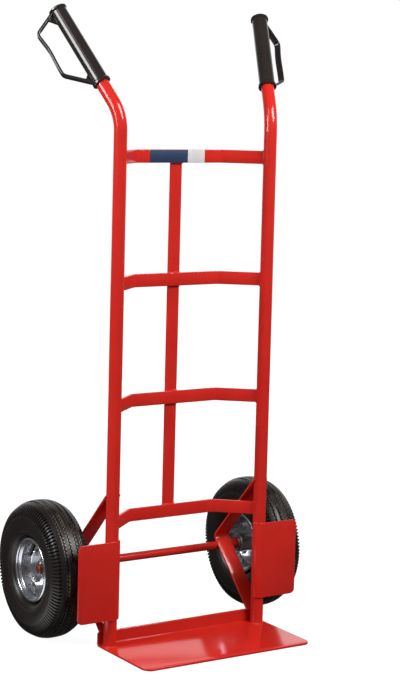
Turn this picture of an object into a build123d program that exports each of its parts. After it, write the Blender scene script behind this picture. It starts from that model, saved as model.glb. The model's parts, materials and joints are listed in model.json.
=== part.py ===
from build123d import *
import math
import os

os.makedirs("parts", exist_ok=True)

# Sack truck, millimetres. Z is up, the toe plate points to -Y, X runs across.
# The origin lies on the underside of the toe plate, midway between the two uprights.

# Driving sizes, read from the photo with the wheel as the scale
TUBE_D = 25.0
TUBE_WALL = 2.0
SPACING = 331.0
BAR_H = 25.0
BAR_T = 5.0
BAR_COUNT = 4
BAR_LOW_Z = 231.0
BAR_TOP_DROP = 78.0
BAR_STEP_GROW = 6.5
CENTRE_BAR_LAP = 9.0
BOW = 61.0
BOW_RUN = 72.0
CENTRE_X = -4.0
BAR_BEND_R = 14.0

BEND_Z = 989.0
BEND_TILT = 38.3
BEND_TURN = 24.0
BEND_R = 90.0
GRIP_START = 69.5
GRIP_LEN = 172.0
GRIP_WALL = 2.5
GRIP_END_T = 9.0
GRIP_FLANGE_RISE = 2.5
GRIP_FLANGE_T = 6.0
GRIP_FLANGE_EDGE = 0.8
GRIP_FLANGE_SLOPE = 1.5
GRIP_CAP_DROP = 2.5
GRIP_CAP_IN = 4.5
GUARD_ROLL = 26.0
GUARD_OUT = 57.0
GUARD_LOW = 46.0
GUARD_HIGH = 141.0
GUARD_LEAN = 2.0
GUARD_CORNER_R = 10.0
GUARD_SINK = 1.2
GUARD_START = 5.5
GUARD_STOP = 4.5
STRAP_W = 13.0
STRAP_T = 5.0
WEB_T = 4.0
LOW_WEB_START = 6.0
LOW_WEB_PEAK = 16.5
LOW_WEB_END = 30.0
LOW_WEB_OUT = 11.0
HIGH_WEB_START = 5.5
HIGH_WEB_PEAK = 14.5
HIGH_WEB_END = 31.0
HIGH_WEB_OUT = 13.0

WHEEL_R = 130.0
TYRE_W = 80.0
WHEEL_OFF = 72.0
TYRE_FORWARD = 2.3
SHOULDER_U = 33.6
SHOULDER_DROP = 10.5
CROWN_POWER = 2.4
GROOVE_SPOTS = (8.4, 22.0)
GROOVE_D = 4.0
GROOVE_HALF = 1.6
GROOVE_FLOOR = 0.6
WIDEST_DROP = 35.0
WIDEST_HALF = 6.0
CHEEK_IN = 2.0
CHEEK_DROP = 8.5
LOWER_IN = 2.4
LOWER_DROP = 18.0
TREAD_T = 9.5
BELT_HALF = 24.8
BELT_EDGE_T = 12.0
SIDE_T = 5.2
LINER_RISE = 2.0
BEAD_RISE = 4.0
BEAD_IN = 23.2
BEAD_TOE = 18.4
BEAD_FILL = 9.0
HEEL_IN = 5.0
HEEL_LAP = 0.6
HEEL_RISE = 0.8
HEEL_EDGE = 1.0
HEEL_CUT = 1.2
FLANGE_COVER = 4.2
FLANGE_COVER_RISE = 6.0
INNER_TUBE_GAP = 0.8
INNER_TUBE_WALL = 2.0
INNER_TUBE_RISE = 5.5
INNER_TUBE_TOP = (22.4, 12.5)
INNER_TUBE_SIDE = 34.4
INNER_TUBE_FOOT = 13.6
INNER_TUBE_DRAW = 0.6
AXLE_D = 16.0
AXLE_CHAMFER = 1.2
AXLE_TAIL = 4.5
RIM_R = 60.0
RIM_T = 2.0
RIM_HALF = 27.5
WELL_DEPTH = 10.0
WELL_RUN = 4.0
WELL_RISE = 2.5
WELL_BEND_R = 3.0
FLANGE_IN = 0.8
FLANGE_DROP = 1.2
FLANGE_OUT = 2.4
FLANGE_LIP = 0.6
FLANGE_BEND_R = 1.6
DISC_BEND_R = 4.0
HUB_D = 38.0
HUB_IN = 36.0
HUB_OUT = 5.0
HUB_WALL = 3.0
HUB_SHOULDER = 2.5
HUB_CHAMFER = 1.0
BEARING_W = 10.0
BEARING_SPARE = 0.5
BEARING_INSET = 0.3
RACE_SHARE = 0.26
SHIELD_DROP = 0.8
SPACER_WALL = 2.2
BOLT_D = 8.0
BOLT_AF = 13.0
BOLT_EDGE = 1.5
BOLT_COUNT = 4
HEAD_T = 5.3
NUT_T = 6.5
BOLT_TAIL = 2.5
BOLT_LAP = 0.5
VALVE_ANGLE = 15.0
VALVE_LEAN = 31.0
VALVE_OUT = 11.0
VALVE_RISE = 3.5
STEM_FOOT = 3.0
STEM_R = 4.0
STEM_LEN = 25.0
NIPPLE_R = 2.6
NIPPLE_LEN = 5.0
CAP_R = 3.6
CAP_LEN = 9.0
CAP_CHAMFER = 1.0

PLATE_OVER = 17.0
PLATE_FRONT = 160.0
PLATE_T = 4.0
LIP_TOP = 28.0
LIP_GAP = 2.0
LIP_CORNER_R = 5.0
PLATE_CORNER_R = 18.0

BRACKET_W = 32.0
BRACKET_T = 4.0
BRACKET_APEX = 18.0
BRACKET_RISE = 158.0
BRACKET_BEND_R = 9.0
FENDER_T = 3.0
FENDER_REACH = 78.0
FENDER_LOW = 56.0
FENDER_H = 148.0
FENDER_CORNER_R = 10.0
FENDER_CURL = 86.0
COLLAR_D = 22.0
WASHER_T = 2.0
WASHER_RISE = 3.0
PIN_D = 3.2
PIN_STICK = 4.5
PIN_EYE_R = 3.6
PIN_SPACE = 2.4

# Clearances
RUN_FIT = 0.05
SEAT = 0.05
SIDE_PLAY = 0.4
TOUCH = 0.1
WELD = 0.02

# Values worked out from the sizes above
TUBE_R = TUBE_D / 2
HALF = SPACING / 2
WHEEL_X = HALF + WHEEL_OFF
AXLE_Y = WHEEL_R - TYRE_FORWARD
AXLE_Z = WHEEL_R
AXLE_R = AXLE_D / 2
LIP_FRONT = TUBE_R + LIP_GAP
TILT = math.radians(BEND_TILT)
TURN = math.radians(BEND_TURN)
HANDLE_DIR = Vector(math.sin(TILT) * math.sin(TURN), math.sin(TILT) * math.cos(TURN), math.cos(TILT))
CORNER = Vector(HALF, 0, BEND_Z)
FOOT = (Align.CENTER, Align.CENTER, Align.MIN)
LID = (Align.CENTER, Align.CENTER, Align.MAX)


def both(shape, name):
    # the right-hand piece and its mirror image
    export_step(shape, f"parts/{name}_right.step")
    export_step(mirror(shape, about=Plane.YZ), f"parts/{name}_left.step")


def group(shapes, name):
    # identical small pieces share one node as separate solids
    export_step(Compound(children=list(shapes)), f"parts/{name}.step")


def poly_face(points):
    return make_face(Polyline(*points, close=True))


def ring(u0, u1, r_in, r_out):
    # plain ring about the X axis between two stations
    return revolve(poly_face([(u0, r_in), (u1, r_in), (u1, r_out), (u0, r_out)]), Axis.X, 360)


# Uprights: one tube each, standing on the toe plate and bent back and out at the top
tangent = BEND_R * math.tan(TILT / 2)
bend_low = CORNER - Vector(0, 0, tangent)
bend_high = CORNER + HANDLE_DIR * tangent
side_dir = Vector(math.sin(TURN), math.cos(TURN), 0)
bend_back = BEND_R * (1 - math.cos(TILT / 2))
bend_rise = BEND_R * math.sin(TILT / 2)
bend_mid = bend_low + side_dir * bend_back + Vector(0, 0, bend_rise)
tube_end = CORNER + HANDLE_DIR * (GRIP_START + GRIP_LEN - GRIP_END_T)
tube_foot = Vector(HALF, 0, PLATE_T)
path = Line(tube_foot, bend_low) + ThreePointArc(bend_low, bend_mid, bend_high) + Line(bend_high, tube_end)
tube_ring = Pos(HALF, 0, PLATE_T) * (Circle(TUBE_R) - Circle(TUBE_R - TUBE_WALL))
both(sweep(tube_ring, path=path), "upright")

# Crossbars: flat bar with two bends, so the middle sits behind the plane of the uprights
# The bars stand a little further apart towards the top
tube_clear = Pos(HALF, 0, BEND_Z / 2) * Cylinder(TUBE_R + TOUCH, BEND_Z * 2)
tube_clear_left = mirror(tube_clear, about=Plane.YZ)
bar_span = BEND_Z - BAR_TOP_DROP - BAR_LOW_Z
bar_steps = BAR_COUNT - 1
first_step = bar_span / bar_steps - BAR_STEP_GROW * (bar_steps - 1) / 2
bar_heights = [BAR_LOW_Z + first_step * i + BAR_STEP_GROW * i * (i - 1) / 2 for i in range(BAR_COUNT)]
bow_x = HALF - BOW_RUN
bar_line = FilletPolyline((-HALF, 0), (-bow_x, BOW), (bow_x, BOW), (HALF, 0), radius=BAR_BEND_R)
bar = extrude(trace(bar_line, BAR_T), BAR_H / 2, both=True)
bar = bar - tube_clear - tube_clear_left
bar = max(bar.solids(), key=lambda s: s.volume)
for number, height in enumerate(bar_heights, start=1):
    export_step(Pos(0, 0, height) * bar, f"parts/crossbar_{number}.step")

# Centre bar: flat bar standing behind the four crossbars
centre_low = bar_heights[0] - CENTRE_BAR_LAP
centre_high = bar_heights[-1] + CENTRE_BAR_LAP
centre_at = Pos(CENTRE_X, BOW + BAR_T + WELD, (centre_low + centre_high) / 2)
export_step(centre_at * Box(BAR_H, BAR_T, centre_high - centre_low), "parts/centre_bar.step")

# Toe plate: bent sheet, upright lip at the back, rounded front corners
plate_half = HALF + PLATE_OVER
toe_line = FilletPolyline(
    (-PLATE_FRONT, PLATE_T / 2),
    (LIP_FRONT + PLATE_T / 2, PLATE_T / 2),
    (LIP_FRONT + PLATE_T / 2, LIP_TOP),
    radius=LIP_GAP + PLATE_T / 2,
)
toe_face = Plane.YZ * trace(toe_line, PLATE_T)
toe_plate = extrude(toe_face, plate_half, both=True)
front_edges = toe_plate.edges().filter_by(Axis.Z).group_by(Axis.Y)[0]
toe_plate = fillet(front_edges, PLATE_CORNER_R)
lip_edges = toe_plate.edges().filter_by(Axis.Y).group_by(Axis.Z)[-1]
toe_plate = fillet(lip_edges, LIP_CORNER_R)
export_step(toe_plate, "parts/toe_plate.step")

# Wheel fenders: flat sheet in front of the tyre, its inner edge curled round the upright
fender_mid = TUBE_R + TOUCH + FENDER_T / 2
curl = math.radians(FENDER_CURL)
curl_end = (HALF - fender_mid * math.sin(curl), -fender_mid * math.cos(curl))
curl_mid = (HALF - fender_mid * math.sin(curl / 2), -fender_mid * math.cos(curl / 2))
fender_line = Line((HALF + FENDER_REACH, -fender_mid), (HALF, -fender_mid))
fender_line = fender_line + ThreePointArc((HALF, -fender_mid), curl_mid, curl_end)
fender = Pos(0, 0, FENDER_LOW) * extrude(trace(fender_line, FENDER_T), FENDER_H)
outer_edges = fender.edges().filter_by(Axis.Y).group_by(Axis.X)[-1]
fender = fillet(outer_edges, FENDER_CORNER_R)
both(fender, "wheel_fender")

# Axle brackets: flat bar bent to a V, carrying the axle on the back of its lower leg
leg = math.sqrt(0.5)
foot_off = AXLE_R + BRACKET_T / 2 + WELD
leg_foot = (AXLE_Y - foot_off * leg, AXLE_Z + foot_off * leg)
apex = (leg_foot[0] + BRACKET_APEX * leg, leg_foot[1] + BRACKET_APEX * leg)
leg_drop = apex[1] - LIP_TOP + BRACKET_W / 2
leg_low = (apex[0] - leg_drop, apex[1] - leg_drop)
bracket_line = FilletPolyline(leg_low, apex, (0.0, AXLE_Z + BRACKET_RISE), radius=BRACKET_BEND_R)
bracket_face = Plane.YZ * trace(bracket_line, BRACKET_T)
bracket = Pos(HALF, 0, 0) * extrude(bracket_face, BRACKET_W / 2, both=True)
bracket = bracket - tube_clear
below_lip = Pos(HALF, 0, LIP_TOP + WELD) * Box(BRACKET_W * 2, AXLE_Y * 4, LIP_TOP * 4, align=LID)
bracket = bracket - below_lip
bracket = max(bracket.solids(), key=lambda s: s.volume)
both(bracket, "axle_bracket")

# Axle with its two stop collars, four washers and two split pins
hub_start = WHEEL_X - HUB_IN
hub_end = WHEEL_X + HUB_OUT
pin_x = hub_end + SIDE_PLAY + WASHER_T + PIN_SPACE
axle_end = pin_x + AXLE_TAIL
at_axle = Pos(0, AXLE_Y, AXLE_Z)
axle = Rot(0, 90, 0) * Cylinder(AXLE_R, axle_end * 2)
axle = chamfer(axle.edges().filter_by(GeomType.CIRCLE), AXLE_CHAMFER)
for side in (-1, 1):
    axle = axle - Pos(side * pin_x, 0, 0) * Cylinder(PIN_D / 2 + TOUCH, AXLE_D * 2)
export_step(at_axle * axle, "parts/axle.step")

collar_start = HALF + BRACKET_W / 2 + SEAT
collar_stop = hub_start - SIDE_PLAY - WASHER_T - SEAT
washer_r = COLLAR_D / 2 + WASHER_RISE
both(at_axle * ring(collar_start, collar_stop, AXLE_R + SEAT, COLLAR_D / 2), "axle_collar")

washers = []
pins = []
for side in (-1, 1):
    inner = ring(hub_start - SIDE_PLAY - WASHER_T, hub_start - SIDE_PLAY, AXLE_R + SEAT, washer_r)
    outer = ring(hub_end + SIDE_PLAY, hub_end + SIDE_PLAY + WASHER_T, AXLE_R + SEAT, washer_r)
    for one in (inner, outer):
        washers.append(at_axle * (one if side > 0 else mirror(one, about=Plane.YZ)))
    stem = Cylinder(PIN_D / 2, AXLE_D + PIN_STICK * 2)
    eye = Pos(0, 0, AXLE_R + PIN_STICK) * ring(-PIN_D / 3, PIN_D / 3, PIN_EYE_R / 2, PIN_EYE_R)
    eye_hole = Pos(0, 0, AXLE_R + PIN_STICK) * ring(-PIN_D, PIN_D, 0, PIN_EYE_R / 2)
    pins.append(at_axle * Pos(side * pin_x, 0, 0) * (stem + eye - eye_hole))
group(washers, "axle_washers")
group(pins, "split_pins")

# Grips: moulded sleeve with end flanges, knuckle guard and two webs
grip_up = HANDLE_DIR
across = Vector(1, 0, 0) - grip_up * grip_up.X
across = across.normalized()
third = grip_up.cross(across)
roll = math.radians(GUARD_ROLL)
guard_dir = across * math.cos(roll) + third * math.sin(roll)
grip_plane = Plane(origin=CORNER + HANDLE_DIR * GRIP_START, x_dir=guard_dir, z_dir=grip_up)
grip_r = TUBE_R + GRIP_WALL
flange_r = grip_r + GRIP_FLANGE_RISE
bore_r = TUBE_R + SEAT
bore_end = GRIP_LEN - GRIP_END_T + TOUCH * 2
grip_outline = [
    (0, bore_r),
    (0, flange_r - GRIP_FLANGE_EDGE),
    (GRIP_FLANGE_EDGE, flange_r),
    (GRIP_FLANGE_T, flange_r),
    (GRIP_FLANGE_T + GRIP_FLANGE_SLOPE, grip_r),
    (GRIP_LEN - GRIP_FLANGE_T - GRIP_FLANGE_SLOPE, grip_r),
    (GRIP_LEN - GRIP_FLANGE_T, flange_r),
    (GRIP_LEN - GRIP_CAP_DROP, flange_r),
    (GRIP_LEN, flange_r - GRIP_CAP_IN),
    (GRIP_LEN, 0),
    (bore_end, 0),
    (bore_end, bore_r),
]
sleeve = Rot(0, -90, 0) * revolve(poly_face(grip_outline), Axis.X, 360)
inset = grip_r - GUARD_SINK
guard_points = [
    (inset, GUARD_START),
    (GUARD_OUT - GUARD_LEAN, GUARD_LOW),
    (GUARD_OUT, GUARD_HIGH),
    (inset, GRIP_LEN - GUARD_STOP),
]
guard_line = FilletPolyline(*guard_points, radius=GUARD_CORNER_R)
strap = extrude(Plane.XZ * trace(guard_line, STRAP_T), STRAP_W / 2, both=True)
low_web = [(inset, LOW_WEB_START), (inset + LOW_WEB_OUT, LOW_WEB_PEAK), (inset, LOW_WEB_END)]
high_web = [
    (inset, GRIP_LEN - HIGH_WEB_START),
    (inset + HIGH_WEB_OUT, GRIP_LEN - HIGH_WEB_PEAK),
    (inset, GRIP_LEN - HIGH_WEB_END),
]
webs = [extrude(Plane.XZ * poly_face(points), WEB_T / 2, both=True) for points in (low_web, high_web)]
guard_solid = strap + webs[0] + webs[1]
core = Cylinder(inset - TOUCH, GRIP_LEN * 3)
grip = sleeve + (guard_solid - core)
both(grip_plane.location * grip, "grip")

# Wheel, drawn about the X axis with u measured outward from its centre plane
# Rim halves: pressed sheet with a flat bolting disc, a well and a rolled flange
hub_r = HUB_D / 2
well_r = RIM_R - WELL_DEPTH
disc_r = well_r - RIM_T
rim_half_line = FilletPolyline(
    (RIM_T / 2 + WELD, hub_r + SEAT),
    (RIM_T / 2 + WELD, disc_r),
    (RIM_HALF - WELL_RUN, well_r + WELL_RISE),
    (RIM_HALF - FLANGE_IN, RIM_R - FLANGE_DROP),
    (RIM_HALF + FLANGE_OUT, RIM_R - FLANGE_LIP),
    radius=(DISC_BEND_R, WELL_BEND_R, FLANGE_BEND_R),
)
rim_face = trace(rim_half_line, RIM_T)
rim_half = revolve(rim_face, Axis.X, 360)
valve_spot = Pos(VALVE_OUT, 0, well_r + VALVE_RISE) * Rot(0, 180 - VALVE_LEAN, 0)
bolt_circle = disc_r - DISC_BEND_R - BOLT_EDGE - BOLT_AF / 2
bolt_spots = []
for i in range(BOLT_COUNT):
    turn = 360.0 / BOLT_COUNT * (i + 0.5)
    bolt_spots.append(Rot(turn, 0, 0) * Pos(0, 0, bolt_circle))
bolt_hole = Rot(0, 90, 0) * Cylinder(BOLT_D / 2 + TOUCH * 2, RIM_HALF)
for spot in bolt_spots:
    rim_half = rim_half - spot * bolt_hole
valve_hole = Rot(-VALVE_ANGLE, 0, 0) * valve_spot * Cylinder(STEM_R + TOUCH * 3, RIM_HALF)
rim_outer = rim_half - valve_hole
rim_inner = mirror(rim_half, about=Plane.YZ)

# Hub: tube with two bearing seats and a shoulder between them
seat_r = hub_r - HUB_WALL
seat_len = BEARING_W + BEARING_SPARE
hub_outline = [
    (-HUB_IN, seat_r),
    (-HUB_IN + seat_len, seat_r),
    (-HUB_IN + seat_len, seat_r - HUB_SHOULDER),
    (HUB_OUT - seat_len, seat_r - HUB_SHOULDER),
    (HUB_OUT - seat_len, seat_r),
    (HUB_OUT, seat_r),
    (HUB_OUT, hub_r),
    (-HUB_IN + HUB_CHAMFER, hub_r),
    (-HUB_IN, hub_r - HUB_CHAMFER),
]
hub = revolve(poly_face(hub_outline), Axis.X, 360)


def bearing(u0):
    # shielded ball bearing: the two races stand proud of the shields
    u1 = u0 + BEARING_W
    r0 = AXLE_R + RUN_FIT
    r3 = seat_r - SEAT
    r1 = r0 + (r3 - r0) * RACE_SHARE
    r2 = r0 + (r3 - r0) * (1 - RACE_SHARE)
    low = u0 + SHIELD_DROP
    high = u1 - SHIELD_DROP
    points = [(u0, r0), (u1, r0), (u1, r1), (high, r1), (high, r2), (u1, r2)]
    points = points + [(u1, r3), (u0, r3), (u0, r2), (low, r2), (low, r1), (u0, r1)]
    return revolve(poly_face(points), Axis.X, 360)


inner_bearing = -HUB_IN + BEARING_INSET
outer_bearing = HUB_OUT - BEARING_W - BEARING_INSET
bearings = [bearing(inner_bearing), bearing(outer_bearing)]
sleeve_start = inner_bearing + BEARING_W + TOUCH
sleeve_stop = outer_bearing - TOUCH
spacer = ring(sleeve_start, sleeve_stop, AXLE_R + RUN_FIT, AXLE_R + SPACER_WALL)

# Bolts and nuts that hold the rim halves together
grip_u = RIM_T + WELD + SEAT
hexagon = RegularPolygon(BOLT_AF / 2, 6, major_radius=False)
head = Pos(-grip_u - HEAD_T, 0, 0) * (Plane.YZ * extrude(hexagon, HEAD_T))
shank_len = BOLT_LAP + grip_u * 2 + NUT_T + BOLT_TAIL
shank = Pos(-grip_u - BOLT_LAP, 0, 0) * (Plane.YZ * extrude(Circle(BOLT_D / 2), shank_len))
bolt = head + shank
nut_face = hexagon - Circle(BOLT_D / 2 + SEAT)
nut = Pos(grip_u, 0, 0) * (Plane.YZ * extrude(nut_face, NUT_T))

# Tyre: round-shouldered carcass with four tread grooves, open at the rim
half_w = TYRE_W / 2
should_r = WHEEL_R - SHOULDER_DROP
widest_r = WHEEL_R - WIDEST_DROP
bead_r = well_r + BEAD_RISE
heel_u = RIM_HALF - HEEL_IN


def tread_r(u):
    # height of the tread at a distance from the centre plane
    return WHEEL_R - SHOULDER_DROP * (abs(u) / SHOULDER_U) ** CROWN_POWER


def right_profile():
    # outer half profile from the middle of the tread to the bead
    points = [(0.0, WHEEL_R)]
    floor_half = GROOVE_HALF * GROOVE_FLOOR
    for centre in GROOVE_SPOTS:
        floor_r = tread_r(centre) - GROOVE_D
        points.append((centre - GROOVE_HALF, tread_r(centre - GROOVE_HALF)))
        points.append((centre - floor_half, floor_r))
        points.append((centre + floor_half, floor_r))
        points.append((centre + GROOVE_HALF, tread_r(centre + GROOVE_HALF)))
    points.append((SHOULDER_U, should_r))
    points.append((half_w - CHEEK_IN, should_r - CHEEK_DROP))
    points.append((half_w, widest_r + WIDEST_HALF))
    points.append((half_w, widest_r - WIDEST_HALF))
    points.append((half_w - LOWER_IN, widest_r - LOWER_DROP))
    points.append((RIM_HALF + FLANGE_COVER, RIM_R + FLANGE_COVER_RISE))
    points.append((heel_u + HEEL_LAP, RIM_R + HEEL_RISE))
    points.append((heel_u, bead_r + HEEL_EDGE))
    points.append((heel_u - HEEL_CUT, bead_r))
    return points


def inner_profile():
    # inside of the carcass from the crown to the bead
    return [
        (0.0, WHEEL_R - TREAD_T),
        (BELT_HALF, WHEEL_R - BELT_EDGE_T),
        (half_w - SIDE_T, widest_r + LINER_RISE),
        (BEAD_IN, RIM_R + BEAD_FILL),
    ]


outer_side = right_profile()
inner_side = inner_profile()
bead_toe = [(BEAD_TOE, bead_r)]
loop = outer_side + bead_toe + inner_side[::-1]
mirrored = [(-u, r) for u, r in loop]
tyre = revolve(poly_face(loop), Axis.X, 360) + revolve(poly_face(mirrored), Axis.X, 360)

# Inner tube: thin rubber ring inside the carcass
tube_low = well_r + INNER_TUBE_RISE


def tube_profile(shift):
    # six-sided section that follows the carcass, drawn in by shift
    draw = shift * INNER_TUBE_DRAW
    top = (INNER_TUBE_TOP[0] - draw, WHEEL_R - INNER_TUBE_TOP[1] - shift)
    side = (INNER_TUBE_SIDE - shift, widest_r + LINER_RISE)
    low = (INNER_TUBE_FOOT - draw, tube_low + shift)
    right = [top, side, low]
    return right + [(-u, r) for u, r in right[::-1]]


tube_skin = poly_face(tube_profile(INNER_TUBE_GAP))
tube_air = poly_face(tube_profile(INNER_TUBE_GAP + INNER_TUBE_WALL))
inner_tube = revolve(tube_skin - tube_air, Axis.X, 360)
tube_hole = Pos(0, 0, -STEM_R * 1.5) * Cylinder(STEM_R + TOUCH * 3, STEM_R * 4)
inner_tube = inner_tube - Rot(-VALVE_ANGLE, 0, 0) * valve_spot * tube_hole

# Valve: rubber stem leaning out of the well, with a screw cap
stem_top = STEM_LEN - STEM_FOOT
stem = Pos(0, 0, -STEM_FOOT) * Cylinder(STEM_R, STEM_LEN, align=FOOT)
stem = stem + Pos(0, 0, stem_top) * Cylinder(NIPPLE_R, NIPPLE_LEN, align=FOOT)
cap_hole = Pos(0, 0, stem_top) * Cylinder(NIPPLE_R + SEAT, NIPPLE_LEN + TOUCH * 4, align=FOOT)
cap = Pos(0, 0, stem_top + SEAT) * Cylinder(CAP_R, CAP_LEN, align=FOOT)
cap = chamfer(cap.edges().filter_by(GeomType.CIRCLE).group_by(Axis.Z)[-1], CAP_CHAMFER) - cap_hole
valve_at = Rot(-VALVE_ANGLE, 0, 0) * valve_spot

wheel_at = Pos(WHEEL_X, AXLE_Y, AXLE_Z)
both(wheel_at * tyre, "tyre")
both(wheel_at * inner_tube, "inner_tube")
both(wheel_at * rim_outer, "rim_outer")
both(wheel_at * rim_inner, "rim_inner")
both(wheel_at * hub, "hub")
both(wheel_at * spacer, "bearing_spacer")
both(wheel_at * valve_at * stem, "valve_stem")
both(wheel_at * valve_at * cap, "valve_cap")


def both_groups(shapes, name):
    # a group of separate solids on each wheel
    group(shapes, f"{name}_right")
    group([mirror(s, about=Plane.YZ) for s in shapes], f"{name}_left")


both_groups([wheel_at * s for s in bearings], "bearings")
both_groups([wheel_at * spot * bolt for spot in bolt_spots], "rim_bolts")
both_groups([wheel_at * spot * nut for spot in bolt_spots], "rim_nuts")
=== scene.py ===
# %% [markdown]
# # A red sack truck on two air-filled wheels
# The truck is a frame of bent tube with flat crossbars, a toe plate that slides under a load, two wheels
# with chromed rims and two moulded grips. The construction is already settled in the imported frame, so this
# lesson only gives each piece its finished surface. We load the frame first and keep it, to read sizes
# from its boxes.

# %% Load the construction frame
import json
import math

import bmesh
import bpy
from mathutils import Matrix, Vector


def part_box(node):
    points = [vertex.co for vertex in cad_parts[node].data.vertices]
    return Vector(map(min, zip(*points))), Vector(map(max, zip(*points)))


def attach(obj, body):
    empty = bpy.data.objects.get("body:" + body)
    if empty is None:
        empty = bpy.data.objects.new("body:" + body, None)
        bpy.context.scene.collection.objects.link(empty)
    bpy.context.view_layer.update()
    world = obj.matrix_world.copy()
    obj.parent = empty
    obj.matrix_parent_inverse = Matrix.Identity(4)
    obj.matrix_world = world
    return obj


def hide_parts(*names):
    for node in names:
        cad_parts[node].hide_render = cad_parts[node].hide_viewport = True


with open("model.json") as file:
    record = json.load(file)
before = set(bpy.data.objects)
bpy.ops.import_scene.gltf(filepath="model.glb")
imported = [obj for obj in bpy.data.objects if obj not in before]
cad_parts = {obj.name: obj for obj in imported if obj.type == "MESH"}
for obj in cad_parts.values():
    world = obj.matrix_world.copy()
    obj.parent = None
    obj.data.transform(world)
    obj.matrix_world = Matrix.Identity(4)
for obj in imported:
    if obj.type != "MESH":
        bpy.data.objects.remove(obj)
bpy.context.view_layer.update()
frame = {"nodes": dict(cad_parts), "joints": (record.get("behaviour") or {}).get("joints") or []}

# %% [markdown]
# ## Sizes
# Blender works in metres. Most places can be read from the frame: the wheel centres are the joints, the
# tube lies where its box says. Sizes that a box can't tell, such as the bend of the handle, are written
# once, where they are first needed, in real millimetres. Most are multiplied by MM there. The outlines of
# turned and moulded pieces stay in millimetres until their points are made.

# %% Read the sizes that the frame holds
MM = 0.001
SIDES = {"right": 1, "left": -1}
X, Y, Z = Vector((1, 0, 0)), Vector((0, 1, 0)), Vector((0, 0, 1))

wheel_centre = {joint["child"]: Vector(joint["pos_m"]) for joint in frame["joints"]}
wheel_x, axle_y, axle_z = wheel_centre["wheel_right"]
axle_low, axle_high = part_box("axle")
axle_r = (axle_high.z - axle_low.z) / 2

bracket_low, bracket_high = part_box("axle_bracket_right")
bracket_w = bracket_high.x - bracket_low.x
tube_x = (bracket_low.x + bracket_high.x) / 2
tube_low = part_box("upright_right")[0]
tube_r = tube_x - tube_low.x
plate_t = tube_low.z

centre_low, centre_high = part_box("centre_bar")
bar_t = centre_high.y - centre_low.y
bar_h = centre_high.x - centre_low.x
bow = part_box("crossbar_1")[1].y - bar_t / 2
bar_heights = [sum(corner.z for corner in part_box(f"crossbar_{n}")) / 2 for n in (1, 2, 3, 4)]
print("tube radius", round(tube_r, 4), "at", round(tube_x, 4), "from the middle")
print("bars at", [round(z, 3) for z in bar_heights])

# %% [markdown]
# ## Nodes
# Finishes, repeated pieces and the studio are all built from nodes. One helper adds a node, sets it and
# wires its inputs, so that the code below can be read in the order in which a value flows.

# %% A tool for nodes
WHITE = (1, 1, 1, 1)


def add_node(tree, kind, inputs=None, **settings):
    # an input goes by its name or number, and is a plain value or the output of another node
    node = tree.nodes.new(kind)
    for label, value in settings.items():
        setattr(node, label, value)
    for label, value in (inputs or {}).items():
        if isinstance(value, bpy.types.NodeSocket):
            tree.links.new(value, node.inputs[label])
        else:
            node.inputs[label].default_value = value
    return node


def maths(tree, operation, first, second=0.0):
    return add_node(tree, "ShaderNodeMath", {0: first, 1: second}, operation=operation).outputs[0]


def mapped(tree, value, low, high, at_low, at_high):
    # a straight ramp of a value between two limits
    limits = {"From Min": low, "From Max": high, "To Min": at_low, "To Max": at_high}
    return add_node(tree, "ShaderNodeMapRange", {"Value": value, **limits}).outputs["Result"]


def mixed(tree, amount, first, second):
    # a blend of two colours; they are the node's inputs 6 and 7, and its output 2
    return add_node(tree, "ShaderNodeMix", {0: amount, 6: first, 7: second}, data_type="RGBA").outputs[2]


def noise_in(tree, scale, detail):
    place = add_node(tree, "ShaderNodeTexCoord").outputs["Object"]
    inputs = {"Vector": place, "Scale": scale, "Detail": detail}
    return add_node(tree, "ShaderNodeTexNoise", inputs).outputs["Fac"]


print("node tools ready")

# %% [markdown]
# ## Shared effects for the finishes
# No real surface is one flat colour. Two effects come back in every finish, so each is a shader node
# group: fine grain that drives relief and roughness, and a slow drift between two tones. A group only puts
# out values that change over the surface; what is the same all over is set on each shader itself.

# %% Build the two node groups
GRAIN_DETAIL = 3.0
GRAIN_SPREAD = (0.3, 0.7)
DRIFT_DETAIL = 2.0
DRIFT_SPREAD = (0.35, 0.65)


def new_group(name, inputs, outputs):
    # the inputs come with their starting values, the outputs with the kind of their socket
    group = bpy.data.node_groups.new(name, "ShaderNodeTree")
    for label, value in inputs.items():
        kind = "NodeSocketFloat" if isinstance(value, float) else "NodeSocketColor"
        group.interface.new_socket(label, in_out="INPUT", socket_type=kind).default_value = value
    for label, kind in outputs.items():
        group.interface.new_socket(label, in_out="OUTPUT", socket_type=kind)
    return group, group.nodes.new("NodeGroupInput").outputs, group.nodes.new("NodeGroupOutput").inputs


def grain_group():
    inputs = {"Scale": 500.0, "Smoothest": 0.2, "Roughest": 0.4}
    outputs = {"Height": "NodeSocketFloat", "Roughness": "NodeSocketFloat"}
    group, given, out = new_group("Surface grain", inputs, outputs)
    noise = noise_in(group, given["Scale"], GRAIN_DETAIL)
    group.links.new(noise, out["Height"])
    roughness = mapped(group, noise, *GRAIN_SPREAD, given["Smoothest"], given["Roughest"])
    group.links.new(roughness, out["Roughness"])
    return group


def drift_group():
    inputs = {"Colour": WHITE, "Other colour": WHITE, "Scale": 10.0}
    group, given, out = new_group("Tone drift", inputs, {"Colour": "NodeSocketColor"})
    amount = mapped(group, noise_in(group, given["Scale"], DRIFT_DETAIL), *DRIFT_SPREAD, 0.0, 1.0)
    group.links.new(mixed(group, amount, given["Colour"], given["Other colour"]), out["Colour"])
    return group


GRAIN = grain_group()
DRIFT = drift_group()
print("node groups", GRAIN.name, "and", DRIFT.name)

# %% [markdown]
# ## The finishes
# Powder coat is a thick plastic skin over steel: a saturated colour under a clear gloss, with a faint
# orange peel. Where the axle sticks out of the wheels its paint is a darker brown-red, which is painted
# shade for the hollow of the rim dish. The rims are chromed, the small hardware is zinc plated, which is
# duller. Tyre rubber is nearly black and a little brown, the grips are charcoal with a clean highlight.
# One function makes them all, and each call gives its own values.

# %% A tool for finishes
RELIEF_DEPTH = 0.2 * MM


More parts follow.
